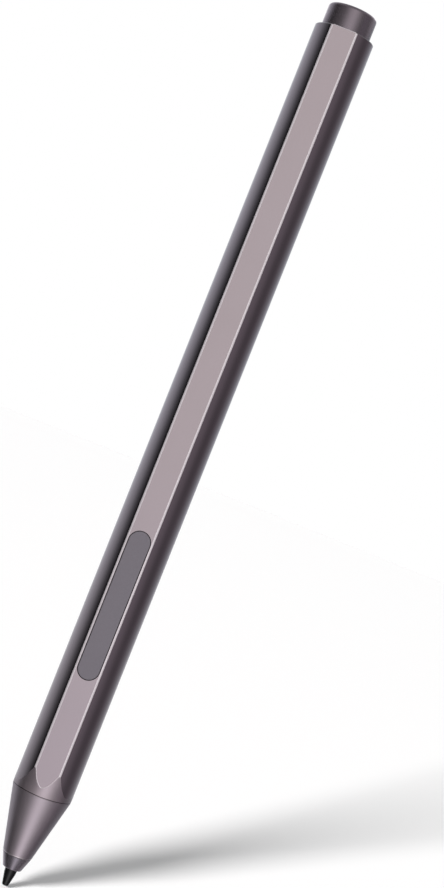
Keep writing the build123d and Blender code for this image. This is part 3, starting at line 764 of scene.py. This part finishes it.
# return springs: the CAD coils, copied into pieces of their own
springs = {                     # the fixed end is 0 for the lower and 1 for the upper
    "nibSpring": dict(node="nib_spring", body="pen_body", joint="nib_press", fixedEnd=1),
    "tailSpring": dict(node="tail_spring", body="tail_unit", joint="tail_press", fixedEnd=0),
}
coilSharp = math.radians(40)    # the wire's faces turn by less, its cut ends by more


def makeSpring(name, node, body, joint, fixedEnd):
    piece = bpy.data.objects.new(name, nodes[node].data.copy())
    bpy.context.scene.collection.objects.link(piece)
    activate(piece)
    bpy.ops.object.mode_set(mode="EDIT")
    closePiece(piece)
    bpy.ops.object.shade_smooth_by_angle(angle=coilSharp)
    piece.data.materials.clear()
    finishPiece(piece, body, node, "spring_steel", looks["spring_steel"])
    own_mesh(piece)


for name, settings in springs.items():
    makeSpring(name, **settings)

# the CAD nodes that stay get their finishes
for part in frame["record"]["subparts"]:
    if part["node"] not in replaced:
        piece = nodes[part["node"]]
        piece.data.materials.clear()
        piece.data.materials.append(looks[part["material_slot"]])
print("inner pieces dressed")

# camera: turns go round the pen in degrees, from the camera towards the picture's right
cameraShape = {
    "turn": 2.9, "station": 76.36, "across": 5.92, "away": 311.5, "roll": 21.78, "lens": 81.08, "sensor": 36,
}


def aroundPen(turn):             # a level direction
    angle = math.radians(cameraShape["turn"] + turn)
    return Vector((math.sin(angle), -math.cos(angle), 0))


def makeCamera(shape):
    lens = bpy.data.cameras.new("photoCamera")
    lens.lens = shape["lens"]
    lens.sensor_width = shape["sensor"]
    camera = bpy.data.objects.new("photoCamera", lens)
    bpy.context.scene.collection.objects.link(camera)
    axis = Vector((0, 0, 1))
    towards = aroundPen(0)
    across = axis.cross(towards)
    roll = math.radians(shape["roll"])
    right = across * math.cos(roll) + axis * math.sin(roll)
    up = axis * math.cos(roll) - across * math.sin(roll)
    spot = axis * shape["station"] + across * shape["across"] + towards * shape["away"]
    turn = Matrix((right, up, towards)).transposed().to_4x4()
    camera.matrix_world = Matrix.Translation(spot * mm) @ turn
    bpy.context.scene.camera = camera


# floor: the size is in metres, the gap under the nib in millimetres
floorShape = {"size": 6.0, "gap": 0.35, "colour": (0.962, 0.95, 0.948), "rough": 0.9}


def makeFloor(shape):
    clearSelection()
    bpy.ops.mesh.primitive_plane_add(size=shape["size"], location=(0, 0, -shape["gap"] * mm))
    floor = bpy.context.object
    floor.name = "studioFloor"
    floor.visible_glossy = False
    material = bpy.data.materials.new("floorWhite")
    material.use_nodes = True
    tree = material.node_tree
    shader = tree.nodes["Principled BSDF"]
    feed(tree, shader, {"Base Color": (*shape["colour"], 1), "Roughness": shape["rough"]})
    floor.data.materials.append(material)


# key light: a soft sun that casts the shadow and isn't mirrored in the metal
keyShape = {"turn": -20.8, "height": 15.0, "power": 8.4, "size": 8.0}


def makeKey(shape):
    lift = math.radians(shape["height"])
    away = aroundPen(shape["turn"]) * math.cos(lift) + Vector((0, 0, math.sin(lift)))
    lamp = bpy.data.lights.new("keyLight", "SUN")
    lamp.energy = shape["power"]
    lamp.angle = math.radians(shape["size"])
    key = bpy.data.objects.new("keyLight", lamp)
    bpy.context.scene.collection.objects.link(key)
    key.visible_glossy = False
    key.rotation_euler = away.to_track_quat("Z", "Y").to_euler()


# sky: a soft white front, dark sides and a white wall behind; the camera itself sees plain white
skyShape = {
    # brightness round the pen, by turn
    "lightRound": (
        (-180, 0.85), (-140, 0.6), (-122, 0.52), (-113, 0.41), (-106, 0.25), (-101, 0.13), (-96, 0.07),
        (-92, 0.0), (-82, 0.0), (-66, 0.11), (-42, 0.18), (-30, 0.28), (-20, 0.46), (-10, 0.8), (10, 1.38),
        (22, 1.17), (32, 0.8), (54, 0.33), (66, 0.28), (85, 0.18), (92, 0.11), (98, 0.09), (105, 0.13),
        (128, 0.28), (155, 0.54), (180, 0.85),
    ),
    # what differs above the camera's level
    "lightAbove": {
        -42: 0.21, -30: 0.34, -20: 0.58, -10: 0.87, 10: 1.13, 22: 0.92, 32: 0.62, 54: 0.2, 66: 0.25,
    },
    # colours of the front and of the wall, below and above that level
    "frontTints": ((1, 1, 1), (1, 1, 0.95)), "wallTints": ((0.96, 1.01, 1.03), (0.94, 1.01, 1.06)),
    "wallTurn": 95,              # the wall starts beyond this turn
    "flankSpan": (60, 110), "flankTint": (1.03, 0.95, 1.03),   # a faint mauve on the right flank
    # heights of a ray's direction between which the levels, and then the lid overhead, take over
    "levelSpan": (-0.16, 0.02), "lidSpan": (0.45, 0.85), "lid": 0.36,
}


def addRing(tree, share, shape, changes, frontTint, wallTint):   # the light round the pen at one level
    flankStart, flankEnd = shape["flankSpan"]
    stops = []
    for turn, value in shape["lightRound"]:
        tint = frontTint
        if flankStart < turn < flankEnd:
            tint = shape["flankTint"]
        elif abs(turn) > shape["wallTurn"]:
            tint = wallTint
        bright = changes.get(turn, value)
        stops.append((turn / 360 + 0.5, (*(bright * part for part in tint), 1)))
    return addRamp(tree, share, "LINEAR", stops).outputs["Color"]


def makeSky(shape):
    world = bpy.data.worlds.new("studioSky")
    bpy.context.scene.world = world
    world.use_nodes = True
    tree = world.node_tree
    tree.nodes.clear()
    way = addNode(tree, "ShaderNodeTexCoord").outputs["Generated"]
    parts = []
    for turn in (90, 0):         # how far a ray goes to the right and to the front
        part = addNode(tree, "ShaderNodeVectorMath", operation="DOT_PRODUCT")
        feed(tree, part, {0: way, 1: aroundPen(turn)})
        parts.append(part.outputs["Value"])
    angle = addMath(tree, "ARCTAN2", *parts)
    share = addMath(tree, "ADD", addMath(tree, "DIVIDE", angle, 2 * math.pi), 0.5)
    levels = zip(({}, shape["lightAbove"]), shape["frontTints"], shape["wallTints"])
    rings = [addRing(tree, share, shape, *level) for level in levels]
    split = addNode(tree, "ShaderNodeSeparateXYZ")
    feed(tree, split, {0: way})
    height = split.outputs["Z"]
    around = addBlend(tree, addSpread(tree, height, *shape["levelSpan"]), *rings)
    lid = addBlend(tree, addSpread(tree, height, *shape["lidSpan"]), around, (*[shape["lid"]] * 3, 1))
    light = addNode(tree, "ShaderNodeBackground")
    feed(tree, light, {"Color": lid})
    seen = addNode(tree, "ShaderNodeBackground")
    feed(tree, seen, {"Color": (1, 1, 1, 1)})
    cameraRay = addNode(tree, "ShaderNodeLightPath").outputs["Is Camera Ray"]
    choice = addNode(tree, "ShaderNodeMixShader")
    feed(tree, choice, {0: cameraRay, 1: light.outputs[0], 2: seen.outputs[0]})
    feed(tree, addNode(tree, "ShaderNodeOutputWorld"), {"Surface": choice.outputs[0]})


makeFloor(floorShape)
makeSky(skyShape)
makeKey(keyShape)
makeCamera(cameraShape)
bpy.context.scene.view_settings.view_transform = "Standard"
print("studio ready")
